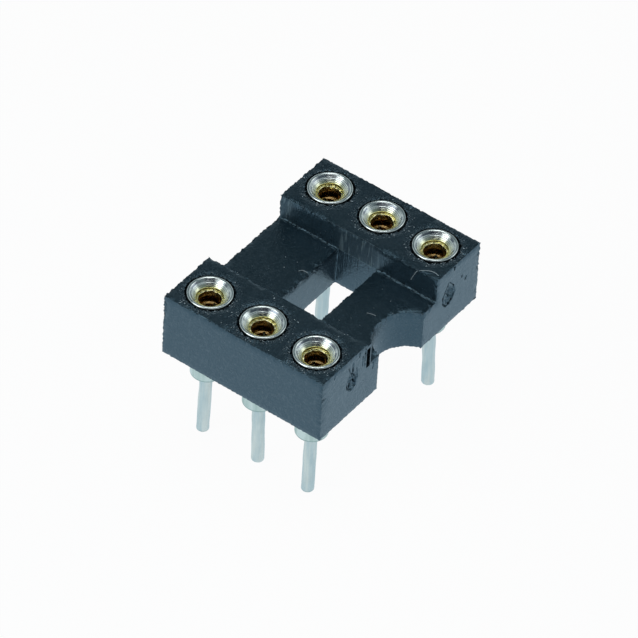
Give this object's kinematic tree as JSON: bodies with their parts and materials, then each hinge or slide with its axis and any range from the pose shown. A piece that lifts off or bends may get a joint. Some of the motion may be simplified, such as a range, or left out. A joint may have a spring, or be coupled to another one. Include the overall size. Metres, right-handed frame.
{
  "type": "dip socket",
  "caption": "Open-frame dual in-line socket: turned sleeves with spring clips and solder tails in two raised rails, joined by a lower web with a window and a notch.",
  "frame": {"origin": "centre of the pin pattern on the board's surface, where the contacts' shoulders stand", "axes": "+X across the rows from pin 1's row to the other, +Y along the rows towards the notched end, +Z away from the board"},
  "size_m": [0.0102, 0.0076, 0.0074],
  "materials": {
    "black_polyester": "moulded, satin",
    "tinned_brass": "turned and tin plated, bright",
    "gilded_spring": "formed and gold plated, bright"
  },
  "bodies": {
    "root": {"insulator": "black_polyester", "contact_sleeve_1": "tinned_brass", "contact_sleeve_2": "tinned_brass", "contact_sleeve_3": "tinned_brass", "contact_sleeve_4": "tinned_brass", "contact_sleeve_5": "tinned_brass", "contact_sleeve_6": "tinned_brass", "contact_clip_1": "gilded_spring", "contact_clip_2": "gilded_spring", "contact_clip_3": "gilded_spring", "contact_clip_4": "gilded_spring", "contact_clip_5": "gilded_spring", "contact_clip_6": "gilded_spring"}
  },
  "joints": []
}
